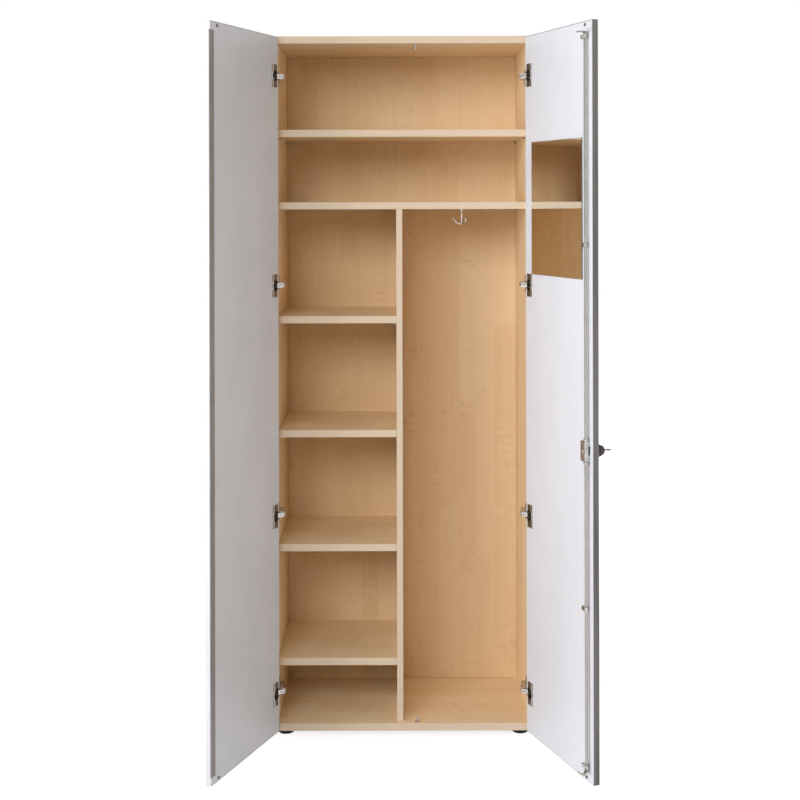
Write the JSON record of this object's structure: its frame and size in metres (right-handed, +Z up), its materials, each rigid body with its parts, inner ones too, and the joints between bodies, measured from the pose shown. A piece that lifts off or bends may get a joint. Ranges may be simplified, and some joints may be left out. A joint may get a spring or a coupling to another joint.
{
  "type": "wardrobe",
  "caption": "Tall wardrobe with a shelf bay, a hanging bay and upper shelves behind hinged doors, one with a mirror and a rotary rod lock.",
  "frame": {"origin": "on the floor under the middle of the carcass", "axes": "+Z up, +Y towards the back, +X to the right of someone facing the doors"},
  "size_m": [1.1362, 0.7642, 2.158],
  "materials": {
    "maple": "maple-coloured melamine, fine vertical grain",
    "door_laminate": "light grey-white melamine, satin",
    "steel": "nickel-plated steel",
    "mirror_glass": "silvered glass",
    "grey_plastic": "grey, smooth",
    "black_plastic": "black, matt",
    "dark_plastic": "dark brown, polished"
  },
  "bodies": {
    "carcass": {"side_panel_left": "maple", "side_panel_right": "maple", "top_board": "maple", "bottom_board": "maple", "back_panel": "maple", "divider_panel": "maple", "fixed_shelf": "maple", "hat_shelf": "maple", "shelf_1": "maple", "shelf_2": "maple", "shelf_3": "maple", "shelf_4": "maple", "shelf_support_1": "steel", "shelf_support_2": "steel", "shelf_support_3": "steel", "shelf_support_4": "steel", "hinge_arm_left_1": "steel", "hinge_arm_left_2": "steel", "hinge_arm_left_3": "steel", "hinge_arm_left_4": "steel", "hinge_arm_right_1": "steel", "hinge_arm_right_2": "steel", "hinge_arm_right_3": "steel", "hinge_arm_right_4": "steel", "strike_pin_top": "steel", "strike_pin_bottom": "steel", "coat_hook_base": "steel"},
    "left_door": {"door_left": "door_laminate", "strike_strip": "grey_plastic", "bumper_left_top": "grey_plastic", "bumper_left_bottom": "grey_plastic", "hinge_cup_left_1": "steel", "hinge_cup_left_2": "steel", "hinge_cup_left_3": "steel", "hinge_cup_left_4": "steel"},
    "right_door": {"door_right": "door_laminate", "mirror": "mirror_glass", "lock_case": "steel", "rod_guide_1": "steel", "rod_guide_2": "steel", "rod_guide_3": "steel", "rod_guide_4": "steel", "bumper_right_top": "grey_plastic", "bumper_right_bottom": "grey_plastic", "hinge_cup_right_1": "steel", "hinge_cup_right_2": "steel", "hinge_cup_right_3": "steel", "hinge_cup_right_4": "steel"},
    "bolt_rods": {"rod_upper": "steel", "rod_lower": "steel", "rod_hook_top": "steel", "rod_hook_bottom": "steel"},
    "knob": {"turn_knob": "dark_plastic"},
    "cylinder": {"lock_cylinder": "steel"},
    "door_key": {"key": "steel"},
    "hook_swivel": {"coat_hook": "steel"},
    "front_left_foot": {"foot_front_left": "black_plastic"},
    "front_right_foot": {"foot_front_right": "black_plastic"},
    "rear_left_foot": {"foot_rear_left": "black_plastic"},
    "rear_right_foot": {"foot_rear_right": "black_plastic"}
  },
  "joints": [
    {"name": "door_left_hinge", "type": "hinge", "parent": "carcass", "child": "left_door", "pos_m": [-0.3905, -0.20275, 1.091], "axis": [0, 0, -1], "range_deg": [-112.75, 3.25]},
    {"name": "door_right_hinge", "type": "hinge", "parent": "carcass", "child": "right_door", "pos_m": [0.3905, -0.20275, 1.091], "axis": [0, 0, 1], "range_deg": [-112, 4]},
    {"name": "rod_turn", "type": "hinge", "parent": "right_door", "child": "bolt_rods", "pos_m": [0.51018, -0.54968, 0.952], "axis": [0, 0, -1], "range_deg": [0, 90]},
    {"name": "knob_turn", "type": "hinge", "parent": "right_door", "child": "knob", "pos_m": [0.53707, -0.53882, 0.952], "axis": [-0.9272, -0.3746, 0], "range_deg": [0, 90]},
    {"name": "cylinder_turn", "type": "hinge", "parent": "knob", "child": "cylinder", "pos_m": [0.53707, -0.53882, 0.952], "axis": [-0.9272, -0.3746, 0], "range_deg": [0, 90]},
    {"name": "key_pull", "type": "slide", "parent": "cylinder", "child": "door_key", "axis": [0.9272, 0.3746, 0], "range_m": [0, 0.028]},
    {"name": "coat_hook_swivel", "type": "hinge", "parent": "carcass", "child": "hook_swivel", "pos_m": [0.1925, 0.006, 1.6], "axis": [0, 0, 1], "continuous": true},
    {"name": "foot_front_left_thread", "type": "hinge", "parent": "carcass", "child": "front_left_foot", "pos_m": [-0.364, -0.13225, 0.012], "axis": [0, 0, 1], "continuous": true},
    {"name": "foot_front_right_thread", "type": "hinge", "parent": "carcass", "child": "front_right_foot", "pos_m": [0.364, -0.13225, 0.012], "axis": [0, 0, 1], "continuous": true},
    {"name": "foot_rear_left_thread", "type": "hinge", "parent": "carcass", "child": "rear_left_foot", "pos_m": [-0.364, 0.16225, 0.012], "axis": [0, 0, 1], "continuous": true},
    {"name": "foot_rear_right_thread", "type": "hinge", "parent": "carcass", "child": "rear_right_foot", "pos_m": [0.364, 0.16225, 0.012], "axis": [0, 0, 1], "continuous": true}
  ],
  "couplings": [
    {"joint": "knob_turn", "follows": "rod_turn", "ratio": 1}
  ]
}
